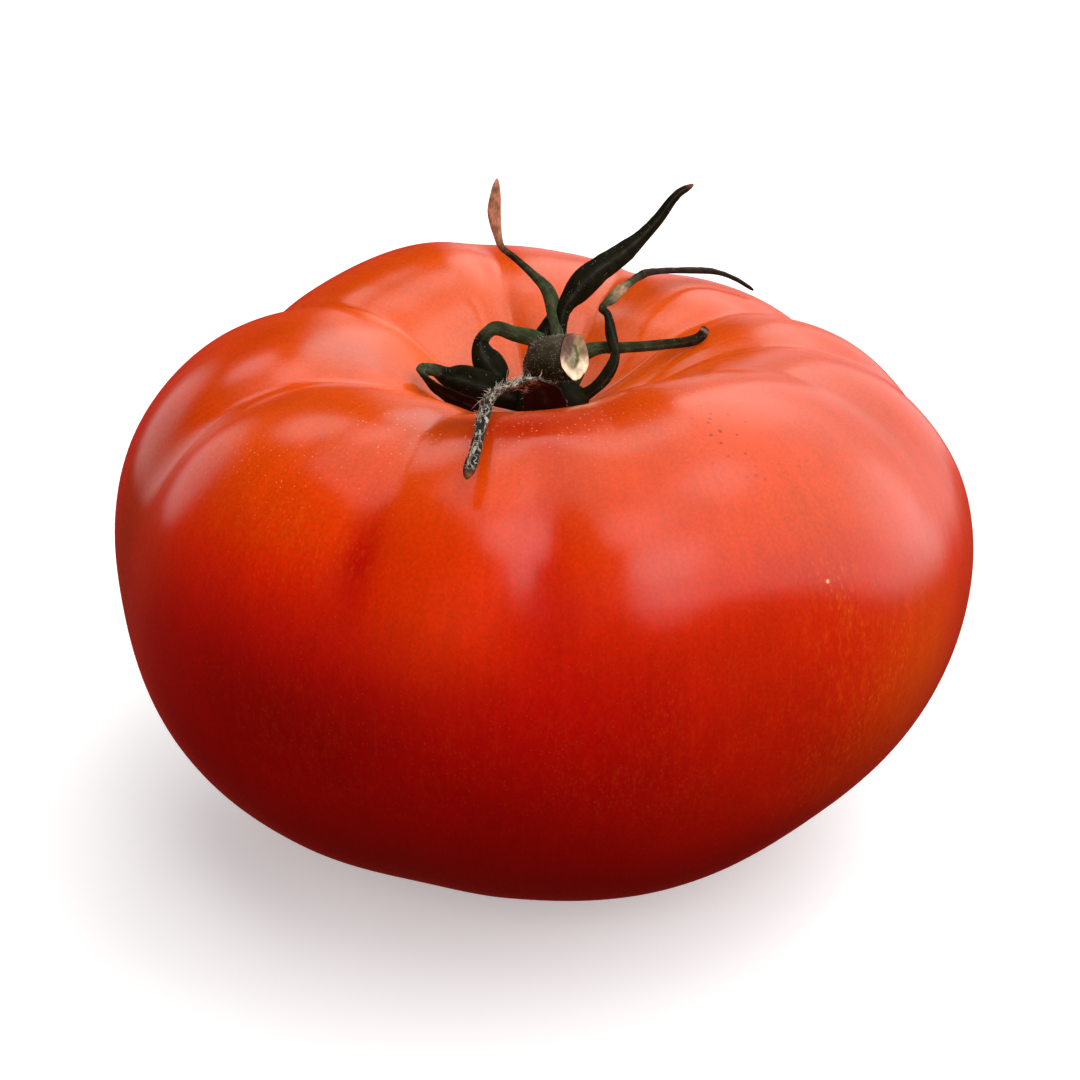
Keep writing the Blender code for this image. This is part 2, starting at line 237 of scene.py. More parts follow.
# Sepals, from the CAD: the way the blade's face looks at its root, then x, y, z, width and roll along its
# middle
BLADE_CUP = 0.18
BLADE_COLUMNS = 15
SEPALS = {
    "back_left": (
        (0, -1, 0),
        (0.9, 2.6, 50.9, 2.2, 0),
        (1.6, 3.8, 54.0, 1.6, 0),
        (2.0, 4.8, 56.8, 1.7, 0),
        (1.6, 6.0, 59.0, 1.7, 0),
        (0.8, 7.6, 61.0, 1.4, 0),
        (-0.8, 9.8, 62.0, 0.9, 0),
        (-2.7, 12.6, 62.8, 0.7, 0),
        (-4.1, 14.8, 63.2, 0.7, 0),
        (-4.6, 15.6, 64.0, 0.8, 0),
        (-5.1, 16.6, 66.6, 1.4, 0),
        (-5.0, 17.4, 68.3, 1.2, 0),
        (-4.8, 18.5, 70.2, 0.5, 0),
    ),
    "back_tall": (
        (0, -1, 0),
        (1.8, 2.6, 50.9, 2.2, 0),
        (2.1, 4.0, 54.2, 1.6, 0),
        (2.3, 5.2, 57.7, 1.2, 0),
        (2.8, 6.0, 59.7, 1.7, 0),
        (4.0, 6.8, 61.1, 2.7, 0),
        (5.1, 7.4, 62.2, 3.0, 0),
        (6.4, 8.2, 63.1, 2.7, 0),
        (7.9, 9.2, 63.8, 2.5, 0),
        (9.4, 10.2, 64.6, 2.2, 0),
        (11.1, 11.2, 65.8, 1.5, 0),
        (13.0, 12.2, 67.6, 1.2, 0),
        (15.0, 13.4, 69.9, 0.9, 0),
        (16.9, 14.2, 70.9, 0.6, 0),
    ),
    "right_over_shoulder": (
        (1, -1, 0),
        (3.2, 0.0, 50.9, 2.2, 0),
        (5.3, 0.6, 51.8, 1.7, 0),
        (6.8, 1.4, 52.9, 1.7, 0),
        (7.8, 2.4, 54.1, 1.6, 0),
        (8.1, 3.4, 55.2, 1.5, 0),
        (7.8, 4.6, 56.5, 1.4, 20),
        (7.5, 6.8, 58.2, 0.8, 60),
        (6.9, 7.8, 58.7, 0.9, 60),
        (7.7, 9.4, 59.0, 1.2, 30),
        (8.8, 11.6, 59.4, 1.2, 20),
        (10.1, 13.8, 59.6, 0.9, 20),
        (11.2, 15.8, 59.6, 0.9, 20),
        (12.5, 17.4, 59.5, 1.0, 20),
        (16.2, 21.0, 58.4, 0.9, 20),
        (20.0, 24.0, 57.2, 0.8, 20),
        (22.6, 24.0, 56.2, 0.8, 20),
        (24.6, 23.4, 55.2, 0.6, 20),
    ),
    "right_rolled": (
        (1, -1, 1),
        (2.6, 1.9, 50.9, 2.2, 0),
        (3.8, 2.9, 53.0, 2.0, 0),
        (4.6, 4.0, 54.8, 1.7, 0),
        (6.6, 4.8, 55.3, 1.3, 0),
        (9.1, 5.4, 55.1, 1.1, 0),
        (12.9, 5.9, 55.2, 1.0, 0),
        (16.3, 6.0, 55.6, 1.0, 0),
        (17.6, 6.5, 56.0, 1.0, 0),
        (18.2, 7.2, 56.8, 0.9, 0),
    ),
    "left_arch": (
        (0, -1, 0),
        (0.0, 2.6, 50.9, 2.2, 0),
        (-0.1, 3.9, 53.6, 1.8, 0),
        (-0.1, 4.5, 56.1, 1.9, 0),
        (-3.0, 4.6, 57.1, 1.6, 0),
        (-4.7, 5.0, 57.5, 1.5, 0),
        (-5.7, 5.0, 57.0, 1.3, 0),
        (-6.4, 4.8, 56.0, 1.6, 0),
        (-6.3, 4.2, 55.0, 2.4, 0),
        (-5.7, 3.4, 54.1, 3.3, 0),
        (-4.9, 2.6, 53.1, 3.2, 0),
        (-4.0, 1.8, 52.4, 2.2, 0),
    ),
    "left_curled": (
        (0, -1, 0.3),
        (-1.6, 0.0, 50.9, 2.4, 0),
        (-4.8, -0.6, 52.4, 3.2, 0),
        (-8.0, -0.3, 53.5, 3.2, 0),
        (-10.0, 0.1, 53.8, 2.1, 0),
        (-11.4, 0.2, 54.5, 1.3, 0),
        (-12.8, -0.4, 54.8, 1.3, -10),
        (-12.9, -1.6, 54.7, 1.3, -20),
        (-11.7, -3.0, 54.0, 1.6, -10),
        (-10.4, -4.4, 53.6, 2.0, 0),
        (-8.8, -5.6, 53.2, 2.3, 5),
        (-7.3, -6.6, 53.0, 2.3, 5),
        (-6.3, -7.2, 52.9, 1.5, 5),
    ),
    "front_over_lip": (
        (0, 0, 1),
        (0.8, -1.6, 50.7, 3.0, 0),
        (0.9, -4.4, 51.4, 4.4, 0),
        (0.6, -6.6, 53.0, 4.6, 0),
        (0.1, -7.5, 55.0, 4.0, 0),
        (-1.3, -8.6, 56.3, 2.6, 0),
        (-2.9, -10.8, 56.8, 2.3, 0),
        (-4.2, -13.8, 57.4, 2.0, 0),
        (-4.9, -17.8, 58.5, 1.6, 0),
        (-5.2, -22.5, 59.6, 1.4, 0),
        (-5.6, -28.0, 60.0, 1.2, 0),
        (-6.1, -33.5, 59.4, 1.1, 0),
        (-6.9, -37.5, 58.3, 1.4, 0),
    ),
    "back_short": (
        (0, -1, 0),
        (-0.6, 2.2, 50.9, 2.0, 0),
        (-0.6, 3.8, 53.4, 2.4, 0),
        (0.2, 5.2, 55.8, 2.3, 0),
        (0.9, 6.0, 57.4, 1.6, 0),
        (1.3, 6.5, 58.4, 0.9, 0),
    ),
}
ROWS_PER_POINT = 24

# Stub of the stalk, from the CAD: x, y, z and radius along its middle
STALK = (
    (0.5, 0.5, 53.6, 2.2),
    (0.4, 0.3, 54.9, 2.3),
    (1.3, -1.2, 56.4, 2.4),
    (3.7, -2.9, 57.3, 2.5),
)
STALK_ROWS = 40
STALK_SIDES = 72
CUT_RINGS = 24
STALK_FACE = (0, -1, 0.2)  # the way that its first side looks

# Sepal colours. The near-black green is painted shade on the blades' backlit, shaded sides. The lighter
# fresh green is the same green where light falls, so its bands between dark stretches are painted light.
FRESH_LIT_GREEN = (0.048, 0.062, 0.026)
SHADED_GREEN = (0.008, 0.008, 0.002)
DRIED = (0.020, 0.010, 0.004)
# Painted shade under the arching blades, reddened by light thrown back from the skin
SHADE_MAROON = (0.018, 0.003, 0.002)
PAPER = (0.440, 0.200, 0.110)
STRAW = (0.200, 0.090, 0.040)
PALE_SPOT = (0.340, 0.220, 0.130)
CREASE_COLOUR = (0.50, 0.45, 0.36, 1)
HAIR_COLOUR = (0.98, 0.91, 0.76)
DRIED_SEPAL = "front_over_lip"
# Each sepal's colour stops along it, with their painted light and shade, thickness at the root and at the
# tip, waves of its edges and wrinkles
SEPAL_FINISH = {
    "back_left": (
        ((0, FRESH_LIT_GREEN), (0.36, FRESH_LIT_GREEN), (0.56, SHADED_GREEN), (0.68, STRAW), (0.74, PAPER), (1, PAPER)),
        0.5,
        0.3,
        0.0,
        0.03,
    ),
    "back_tall": (
        ((0, FRESH_LIT_GREEN), (0.12, SHADED_GREEN), (0.9, SHADED_GREEN), (0.96, DRIED), (1, STRAW)),
        0.5,
        0.4,
        0.16,
        0.05,
    ),
    "right_over_shoulder": (
        (
            (0, SHADED_GREEN),
            (0.4, SHADED_GREEN),
            (0.48, FRESH_LIT_GREEN),
            (0.57, PALE_SPOT),
            (0.62, FRESH_LIT_GREEN),
            (0.68, DRIED),
            (1, DRIED),
        ),
        0.5,
        0.35,
        0.08,
        0.05,
    ),
    "right_rolled": (
        (
            (0, FRESH_LIT_GREEN),
            (0.4, FRESH_LIT_GREEN),
            (0.8, DRIED),
            (0.91, DRIED),
            (0.94, PALE_SPOT),
            (0.97, DRIED),
            (1, DRIED),
        ),
        0.6,
        0.8,
        0.05,
        0.04,
    ),
    "left_arch": (
        ((0, FRESH_LIT_GREEN), (0.5, FRESH_LIT_GREEN), (0.58, SHADED_GREEN), (1, SHADED_GREEN)),
        0.5,
        0.4,
        0.05,
        0.05,
    ),
    "left_curled": (
        ((0, SHADED_GREEN), (0.3, SHADED_GREEN), (0.38, FRESH_LIT_GREEN), (0.52, FRESH_LIT_GREEN), (0.62, SHADED_GREEN), (1, SHADE_MAROON)),
        0.5,
        0.5,
        0.08,
        0.06,
    ),
    "front_over_lip": (
        ((0, SHADE_MAROON), (0.34, SHADE_MAROON), (0.40, SHADED_GREEN), (0.95, SHADED_GREEN), (0.98, DRIED), (1, STRAW)),
        0.5,
        1.0,
        0.05,
        0.16,
    ),
    "back_short": (
        ((0, SHADED_GREEN), (1, SHADED_GREEN)),
        0.5,
        0.4,
        0.05,
        0.04,
    ),
}
# Hairs: the sepal they grow on, first and last share along it, count, shortest, longest and thickness
HAIR_PATCHES = (
    ("front_over_lip", 0.36, 0.62, 24, 0.80, 1.40, 0.050),
    ("front_over_lip", 0.34, 0.62, 100, 0.20, 0.45, 0.034),
    ("front_over_lip", 0.62, 0.98, 70, 0.12, 0.35, 0.024),
    ("front_over_lip", 0.14, 0.34, 50, 0.15, 0.40, 0.020),
    ("left_curled", 0.10, 0.90, 60, 0.12, 0.30, 0.012),
    ("left_arch", 0.10, 0.90, 40, 0.12, 0.30, 0.012),
    ("back_left", 0.05, 0.60, 40, 0.12, 0.30, 0.012),
    ("back_tall", 0.05, 0.90, 40, 0.12, 0.30, 0.012),
    ("right_rolled", 0.10, 1.00, 40, 0.12, 0.25, 0.012),
    ("right_over_shoulder", 0.05, 0.90, 50, 0.12, 0.25, 0.012),
)
STALK_FUZZ = (0.1, 1.0, 900, 0.12, 0.35, 0.012)  # on the stub, in the same order
HAIR_STEPS = 6
TWIG_ROOT = (-0.2, -8.0, 56.9)
TWIG_TIP = (0.7, -8.1, 57.5)
TWIG_THICKNESS = 0.09
TWIG_COLOUR = (0.75, 0.52, 0.24)

# Cut face of the stub: its pale rim, dried part, fibres, middle and green slit. Then the stem's own green.
RIM_COLOUR = (0.90, 0.74, 0.52)
BROWN_COLOUR = (0.17, 0.12, 0.09)
FIBRE_COLOUR = (0.34, 0.29, 0.16)
MIDDLE_COLOUR = (0.30, 0.30, 0.18)
SLIT_COLOUR = (0.06, 0.11, 0.015)
STEM_GREEN = (0.014, 0.022, 0.008)
# The fuzz's grey with painted light, which the upper side of the stub catches
STEM_GREY_AND_LIGHT = (0.060, 0.048, 0.032)  # what is added to the green at the cut end


def smooth_step(start, end, value):
    share = np.clip((value - start) / (end - start), 0, 1)
    return share * share * (3 - 2 * share)


def spline_value(before, first, second, after, share):
    """One stretch of a Catmull-Rom spline, from first to second."""
    return 0.5 * (
        2 * first
        + (second - before) * share
        + (2 * before - 5 * first + 4 * second - after) * share**2
        + (3 * first - before - 3 * second + after) * share**3
    )


def curve_through(points, count):
    """count rows along a smooth curve through the points, whatever a row holds."""
    rows = np.array(points, float)
    padded = np.vstack([2 * rows[0] - rows[1], rows, 2 * rows[-1] - rows[-2]])
    place = np.linspace(0, len(rows) - 1, count)
    stretch = np.minimum(place.astype(int), len(rows) - 2)
    share = (place - stretch)[:, None]
    return spline_value(*(padded[stretch + k] for k in range(4)), share)


def around_axis(azimuths, values, azimuth):
    """A smooth closed curve of a value round the axis, read at each azimuth."""
    result = np.zeros_like(azimuth)
    count = len(azimuths)
    for i in range(count):
        span = (azimuths[(i + 1) % count] - azimuths[i]) % 360
        share = ((azimuth - azimuths[i]) % 360) / span
        four = [values[(i + k) % count] for k in (-1, 0, 1, 2)]
        result = np.where(share < 1, spline_value(*four, share), result)
    return result


def colour_along(stops, share):
    """The colour between stops of (share, colour)."""
    places = [place for place, _ in stops]
    channels = [np.interp(share, places, [colour[k] for _, colour in stops]) for k in range(3)]
    return np.stack(channels, axis=-1)


def valley(azimuth, centre, width, softness):
    """1 in the middle of a crease and 0 far from it, with a rounded bottom."""
    away = np.abs((azimuth - centre + 180) % 360 - 180)
    return np.exp(-(np.sqrt(away**2 + softness**2) - softness) / width)


def crease_dip(azimuth, share):
    """How far the creases sink the surface, in millimetres."""
    softness = 2 + 7 * smooth_step(CREST + 0.12, CREST - 0.2, share)
    spread = 1 + 0.35 * smooth_step(CREST, CREST - 0.3, share)
    dip = np.zeros_like(azimuth)
    for centre, depth, width, reach, inner_reach in CREASES:
        fade_inward = 1 - smooth_step(CREST, CREST + inner_reach, share)
        along = smooth_step(CREST - reach - 0.16, CREST, share) * fade_inward**0.5
        dip += depth * along * valley(azimuth, centre, width * spread, softness)
    centre, depth, width = INNER_CREASE
    along = smooth_step(CREST, CREST + 0.1, share) * (1 - 0.6 * smooth_step(0.85, 0.98, share))
    return dip + depth * along * valley(azimuth, centre, width * spread, softness)


def fruit_surface(azimuth, share):
    """Points of the skin in millimetres, where share runs from the flat spot at 0 to the stalk at 1."""
    profile = curve_through(PROFILE, PROFILE_SAMPLES)
    profile[:, 1] = np.maximum(profile[:, 1], 0)
    steps = np.hypot(*np.diff(profile, axis=0).T)
    length = np.concatenate([[0], np.cumsum(steps)]) / steps.sum()
    slope = np.gradient(profile, axis=0)
    slope /= np.linalg.norm(slope, axis=1)[:, None]
    radius, height, run, rise = (np.interp(share, length, column) for column in (*profile.T, *slope.T))

    turns, low, shoulder, crest = (np.array(column, float) for column in zip(*LOBES))
    low_band = smooth_step(0.02, 0.2, share) * (1 - smooth_step(0.25, 0.5, share))
    shoulder_band = smooth_step(0.2, 0.45, share) * (1 - smooth_step(0.72, 0.9, share))
    crest_band = smooth_step(0.38, 0.62, share) * (1 - smooth_step(0.8, 0.97, share))
    swell = around_axis(turns, low, azimuth) * low_band
    swell += around_axis(turns, shoulder, azimuth) * shoulder_band
    lift = around_axis(turns, crest, azimuth) * crest_band

    dip = crease_dip(azimuth, share)
    radius = radius + swell - dip * rise
    height = height + lift + dip * run
    angle = np.radians(azimuth)
    return np.stack([radius * np.cos(angle), radius * np.sin(angle), height], axis=-1)


def noise_at(points, size):
    """Smooth noise from about -1 to 1 at each point, with features of the given size in millimetres."""
    return np.array([noise.noise(Vector(point) / size) for point in points])


def loft_faces(rows, around):
    """Faces of a closed tube of rings, with a point at each end after the rings' own points."""
    faces = []
    for row in range(rows - 1):
        for k in range(around):
            here, there = row * around + k, row * around + (k + 1) % around
            faces.append((here, there, there + around, here + around))
    start, end, last = rows * around, rows * around + 1, (rows - 1) * around
    for k in range(around):
        faces.append((start, (k + 1) % around, k))
        faces.append((end, last + k, last + (k + 1) % around))
    return faces


def loft(name, rings, ends, material, colours):
    """A closed tube through the rings, given in millimetres, with its two end points and its colours."""
    rows, around, _ = rings.shape
    points = np.vstack([rings.reshape(-1, 3), ends]) * MM
    mesh = bpy.data.meshes.new(name)
    mesh.from_pydata(points.tolist(), [], loft_faces(rows, around))
    mesh.shade_smooth()
    end_colours = [colours[0].mean(0), colours[-1].mean(0)]
    store_colour(mesh, "paint", np.vstack([colours.reshape(-1, 3), *end_colours]))
    mesh.materials.append(material)
    piece = bpy.data.objects.new(name, mesh)
    bpy.context.scene.collection.objects.link(piece)
    return piece


def store_colour(mesh, name, colours):
    layer = mesh.attributes.new(name, "FLOAT_COLOR", "POINT")
    layer.data.foreach_set("color", np.hstack([colours, np.ones((len(colours), 1))]).ravel())


def store_value(mesh, name, values):
    layer = mesh.attributes.new(name, "FLOAT", "POINT")
    layer.data.foreach_set("value", values.astype(np.float32))


def store_vector(mesh, name, vectors):
    layer = mesh.attributes.new(name, "FLOAT_VECTOR", "POINT")
    layer.data.foreach_set("vector", vectors.astype(np.float32).ravel())


def node(tree, kind, inputs=None, **settings):
    """A new node with its settings and inputs, where an input is a value or another node's socket."""
    made = tree.nodes.new(kind)
    for key, value in settings.items():
        setattr(made, key, value)
    for key, value in (inputs or {}).items():
        if isinstance(value, bpy.types.NodeSocket):
            tree.links.new(value, made.inputs[key])
        else:
            made.inputs[key].default_value = value
    return made


def attribute(tree, name, output):
    return node(tree, "ShaderNodeAttribute", attribute_name=name).outputs[output]


def math_node(tree, operation, first, second=0.0):
    return node(tree, "ShaderNodeMath", {0: first, 1: second}, operation=operation).outputs[0]


def noise_value(tree, where, scale, detail=3, rough=0.5):
    inputs = {"Vector": where, "Scale": scale, "Detail": detail, "Roughness": rough}
    return node(tree, "ShaderNodeTexNoise", inputs).outputs["Fac"]


def remap(tree, value, low, high, to_low=0.0, to_high=1.0):
    inputs = {"Value": value, "From Min": low, "From Max": high, "To Min": to_low, "To Max": to_high}
    return node(tree, "ShaderNodeMapRange", inputs, interpolation_type="SMOOTHSTEP").outputs["Result"]


def mix_colour(tree, factor, first, second, blend="MIX"):
    made = node(tree, "ShaderNodeMix", {0: factor, 6: first, 7: second}, data_type="RGBA", blend_type=blend)
    return made.outputs[2]


def new_material(name):
    """A material with its node tree and its shader."""
    material = bpy.data.materials.new(name)
    material.use_nodes = True
    return material, material.node_tree, material.node_tree.nodes["Principled BSDF"]


def object_place(tree):
    return node(tree, "ShaderNodeTexCoord").outputs["Object"]


def bump(tree, height, distance, strength=1.0, under=None):
    inputs = {"Height": height, "Distance": distance * MM, "Strength": strength}
    if under is not None:
        inputs["Normal"] = under
    return node(tree, "ShaderNodeBump", inputs).outputs["Normal"]


def cell_dots(tree, where, scale, low, high, share_of_cells):
    """1 in small round dots, one in some of the cells of a grid that scatters them, and 0 between them."""
    cells = node(tree, "ShaderNodeTexVoronoi", {"Vector": where, "Scale": scale})
    dot = remap(tree, cells.outputs["Distance"], high, low)
    red = node(tree, "ShaderNodeSeparateColor", {"Color": cells.outputs["Color"]}).outputs["Red"]
    return math_node(tree, "MULTIPLY", dot, math_node(tree, "LESS_THAN", red, share_of_cells))


def tinted(tree, paint, tone):
    """The painted colour made lighter or darker by a tone about 1."""
    grey = node(tree, "ShaderNodeCombineXYZ", {"X": tone, "Y": tone, "Z": tone}).outputs["Vector"]
    return mix_colour(tree, 1.0, paint, grey, "MULTIPLY")


def skin_marks(tree, where, colour):
    """The skin's colour with yellow mottles and dashes, dark specks and one pale scar laid on it."""
    flecks = attribute(tree, "flecks", "Fac")
    dash_place = attribute(tree, "dashes", "Vector")
    mottle = remap(tree, noise_value(tree, dash_place, 1.2, 4, 0.7), 0.45, 0.75)
    mottle = math_node(tree, "MULTIPLY", mottle, flecks)
    colour = mix_colour(tree, math_node(tree, "MULTIPLY", mottle, 0.6), colour, MOTTLE_COLOUR)
    dashes = math_node(tree, "MULTIPLY", cell_dots(tree, dash_place, 2.2, 0.15, 0.48, 0.60), flecks)
    dashes = math_node(tree, "MULTIPLY", dashes, remap(tree, noise_value(tree, where, 200, 2), 0.40, 0.60))
    colour = mix_colour(tree, math_node(tree, "MULTIPLY", dashes, 0.42), colour, DASH_COLOUR)
    specks = cell_dots(tree, where, 1150, 0.14, 0.34, 0.45)
    specks = math_node(tree, "MULTIPLY", specks, attribute(tree, "specks", "Fac"))
    colour = mix_colour(tree, math_node(tree, "MULTIPLY", specks, 0.8), colour, SPECK_COLOUR)
    away = node(tree, "ShaderNodeVectorMath", {0: where, 1: PALE_SCAR}, operation="DISTANCE")
    scar = remap(tree, away.outputs["Value"], SCAR_OUTER, SCAR_INNER)
    return mix_colour(tree, scar, colour, SCAR_COLOUR)


def skin_material():
    """Glossy skin that light sinks into a little, with fine grain, faint streaks and small pale pores."""
    material, tree, shader = new_material("tomato_skin")
    where = object_place(tree)
    flow = attribute(tree, "flow", "Vector")
    blotches = noise_value(tree, where, 110, 5, 0.6)
    streaks = noise_value(tree, flow, 1.0, 4, 0.6)
    grain = noise_value(tree, where, 3000, 2)
    tone = remap(tree, blotches, 0.3, 0.7, 0.93, 1.05)
    tone = math_node(tree, "ADD", tone, remap(tree, streaks, 0.3, 0.7, -0.03, 0.03))
    tone = math_node(tree, "ADD", tone, remap(tree, grain, 0.3, 0.7, -0.07, 0.07))
    colour = skin_marks(tree, where, tinted(tree, attribute(tree, "paint", "Color"), tone))
    pores = math_node(tree, "MULTIPLY", attribute(tree, "pores", "Fac"), 0.7)
    pore_dots = cell_dots(tree, where, 2300, 0.08, 0.26, 0.30)
    pore_dots = math_node(tree, "MULTIPLY", pore_dots, math_node(tree, "ADD", pores, 0.06))
    colour = mix_colour(tree, pore_dots, colour, PORE_COLOUR)
    tree.links.new(colour, shader.inputs["Base Color"])
    tree.links.new(remap(tree, streaks, 0.3, 0.7, 0.16, 0.22), shader.inputs["Roughness"])
    shader.inputs["Subsurface Weight"].default_value = 0.35
    shader.inputs["Subsurface Radius"].default_value = (1.0, 0.25, 0.1)
    shader.inputs["Subsurface Scale"].default_value = 0.006
    shader.inputs["IOR"].default_value = 1.45
    peel = noise_value(tree, where, 1000, 2)
    surface = bump(tree, grain, 0.012, 0.5)
    surface = bump(tree, peel, 0.016, 0.5, surface)
    surface = bump(tree, streaks, 0.01, 0.3, surface)
    tree.links.new(bump(tree, pore_dots, 0.03, 0.6, surface), shader.inputs["Normal"])
    return material


def fine_lines(tree, where, scale, width):
    """1 on thin wandering lines and 0 between them."""
    height = math_node(tree, "SUBTRACT", noise_value(tree, where, scale, 2), 0.5)
    return remap(tree, math_node(tree, "ABSOLUTE", height), width, 0.0)


def sepal_material():
    """Dark matt leaf with veins along the blade."""
    material, tree, shader = new_material("sepal")
    where = object_place(tree)
    weave = attribute(tree, "weave", "Vector")
    blotches = remap(tree, noise_value(tree, where, 900, 4), 0.3, 0.7, 0.6, 1.35)
    veins = noise_value(tree, weave, 2.2, 3, 0.6)
    tone = math_node(tree, "MULTIPLY", blotches, remap(tree, veins, 0.35, 0.65, 0.75, 1.25))
    tree.links.new(tinted(tree, attribute(tree, "paint", "Color"), tone), shader.inputs["Base Color"])
    tree.links.new(remap(tree, veins, 0.3, 0.7, 0.55, 0.8), shader.inputs["Roughness"])
    shader.inputs["Specular IOR Level"].default_value = 0.06
    surface = bump(tree, veins, 0.06, 0.6)
    surface = bump(tree, noise_value(tree, where, 3500, 3), 0.03, 0.6, surface)
    tree.links.new(surface, shader.inputs["Normal"])
    return material


def dried_material():
    """Shrivelled leaf with pale creases."""
    material, tree, shader = new_material("dried_sepal")
    where = object_place(tree)
    tone = remap(tree, noise_value(tree, where, 1500, 4), 0.3, 0.7, 0.5, 1.5)
    dark = tinted(tree, attribute(tree, "paint", "Color"), tone)
    along_blade = fine_lines(tree, attribute(tree, "weave", "Vector"), 0.7, 0.035)
    creases = math_node(tree, "MAXIMUM", along_blade, fine_lines(tree, where, 650, 0.02))
    shown = math_node(tree, "MULTIPLY", creases, attribute(tree, "dry", "Fac"))
    tree.links.new(mix_colour(tree, shown, dark, CREASE_COLOUR), shader.inputs["Base Color"])
    tree.links.new(remap(tree, tone, 0.5, 1.5, 0.55, 0.8), shader.inputs["Roughness"])
    shader.inputs["Specular IOR Level"].default_value = 0.15
    surface = bump(tree, creases, 0.05, 0.8)
    surface = bump(tree, noise_value(tree, where, 4000, 3), 0.03, 0.7, surface)
    tree.links.new(surface, shader.inputs["Normal"])
    return material


def stalk_material():
    """Fuzzy green stem with a fibrous cut face."""
    material, tree, shader = new_material("stalk")
    where = object_place(tree)
    fibres = noise_value(tree, where, 2600, 4, 0.65)
    tone = remap(tree, noise_value(tree, where, 900, 4), 0.3, 0.7, 0.65, 1.3)
    tone = math_node(tree, "MULTIPLY", tone, remap(tree, fibres, 0.3, 0.7, 0.85, 1.15))
    tree.links.new(tinted(tree, attribute(tree, "paint", "Color"), tone), shader.inputs["Base Color"])
    tree.links.new(remap(tree, fibres, 0.3, 0.7, 0.6, 0.8), shader.inputs["Roughness"])
    shader.inputs["Specular IOR Level"].default_value = 0.25
    tree.links.new(bump(tree, fibres, 0.06, 0.8), shader.inputs["Normal"])
    return material


def hair_material():
    """Pale dry hairs, some darker than others."""
    material, tree, shader = new_material("hair")
    tone = remap(tree, noise_value(tree, object_place(tree), 1200, 3), 0.3, 0.7, 0.7, 1.1)
    tree.links.new(tinted(tree, attribute(tree, "paint", "Color"), tone), shader.inputs["Base Color"])
    tree.links.new(remap(tree, tone, 0.5, 1.2, 0.45, 0.6), shader.inputs["Roughness"])
    return material


def stage_material(name, glow):
    """Plain matt white that glows a little by itself."""
    material, tree, shader = new_material(name)
    shader.inputs["Base Color"].default_value = (0.9, 0.9, 0.9, 1)
    shader.inputs["Roughness"].default_value = 0.9
    shader.inputs["Emission Color"].default_value = (1, 1, 1, 1)
    shader.inputs["Emission Strength"].default_value = glow
    return material


def zone(azimuth, share, centre, height, reach_round, reach_along):
    """1 in the middle of a soft patch of skin and 0 well outside it."""
    away = ((azimuth - centre + 180) % 360 - 180) / reach_round
    up = (share - height) / reach_along
    return np.exp(-(away**2 + up**2))


def skin_colour(azimuth, share):
    """The stops' colour with the patches laid on it one after the other, much of its darkening being
    painted shade.
    """
    colour = colour_along(SKIN_AND_SHADE_STOPS, share)
    for centre, height, reach_round, reach_along, patch, strength in SKIN_AND_SHADE_PATCHES:
        amount = strength * zone(azimuth, share, centre, height, reach_round, reach_along)
        colour += (np.array(patch) - colour) * amount[..., None]
    return colour


def zone_sum(zones, azimuth, share):
    """The strength of all the zones together, up to 1."""
    total = sum(strength * zone(azimuth, share, *place) for *place, strength in zones)
    return np.minimum(total, 1)


def pattern_places(azimuth, share, scale_round, scale_along):
    """Where each point of the skin lies in a pattern, with the two end points last."""
    angle = np.radians(azimuth)
    x, y = np.cos(angle) * scale_round, np.sin(angle) * scale_round
    places = np.stack([x, y, share * scale_along], axis=-1)
    return np.vstack([places, (0, 0, 0), (0, 0, scale_along)])


def make_fruit():
    """The skin, with lumps too small for the CAD, its colours, and the places that its streaks lie by."""
    azimuth = np.linspace(0, 360, FRUIT_SIDES, endpoint=False)
    share = np.linspace(0, 1, FRUIT_RINGS + 2)[1:-1]
    turns, shares = np.meshgrid(azimuth, share)
    rings = fruit_surface(turns.ravel(), shares.ravel())
    outward = rings - np.array([0, 0, 30])
    outward /= np.linalg.norm(outward, axis=1)[:, None]
    lumps = noise_at(rings, LUMP_SIZE) * UNDULATION * smooth_step(0.08, 0.25, shares.ravel())
    rings = (rings + outward * lumps[:, None]).reshape(len(share), len(azimuth), 3)
    ends = fruit_surface(np.zeros(2), np.array([0.0, 1.0]))
    piece = loft("fruit_skin", rings, ends, skin_material(), skin_colour(turns, shares))
    for name, scales in PATTERN_SCALES.items():
        store_vector(piece.data, name, pattern_places(turns.ravel(), shares.ravel(), *scales))
    for name, zones in {"flecks": FLECK_ZONES, "pores": PORE_ZONES, "specks": SPECK_ZONES}.items():
        store_value(piece.data, name, np.append(zone_sum(zones, turns, shares).ravel(), [0, 0]))
    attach(piece, "root")
    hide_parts("fruit")


def blade_frames(face_way, rows):
    """Tangent, width and face directions along a route, turned by each row's roll."""
    middle = rows[:, :3]
    tangent = np.gradient(middle, axis=0)
    tangent /= np.linalg.norm(tangent, axis=1)[:, None]
    face = np.array(face_way, float)
    sides, faces = [], []
    for direction, roll in zip(tangent, np.radians(rows[:, 4])):
        face = face - direction * face.dot(direction)
        face /= np.linalg.norm(face)
        side = np.cross(direction, face)
        sides.append(side * math.cos(roll) + face * math.sin(roll))
        faces.append(face * math.cos(roll) - side * math.sin(roll))
    return tangent, np.array(sides), np.array(faces)


def wrinkled(across, along, variety):
    """Ridges that run along a blade, from -0.5 to 0.5, which differ with the variety."""
    places = np.stack([across / 0.35, along / 1.6, 0 * across + variety], axis=-1).reshape(-1, 3)
    height = np.array([abs(noise.noise(Vector(place))) for place in places]).reshape(across.shape)
    return 0.5 - 2 * np.minimum(height, 0.5)


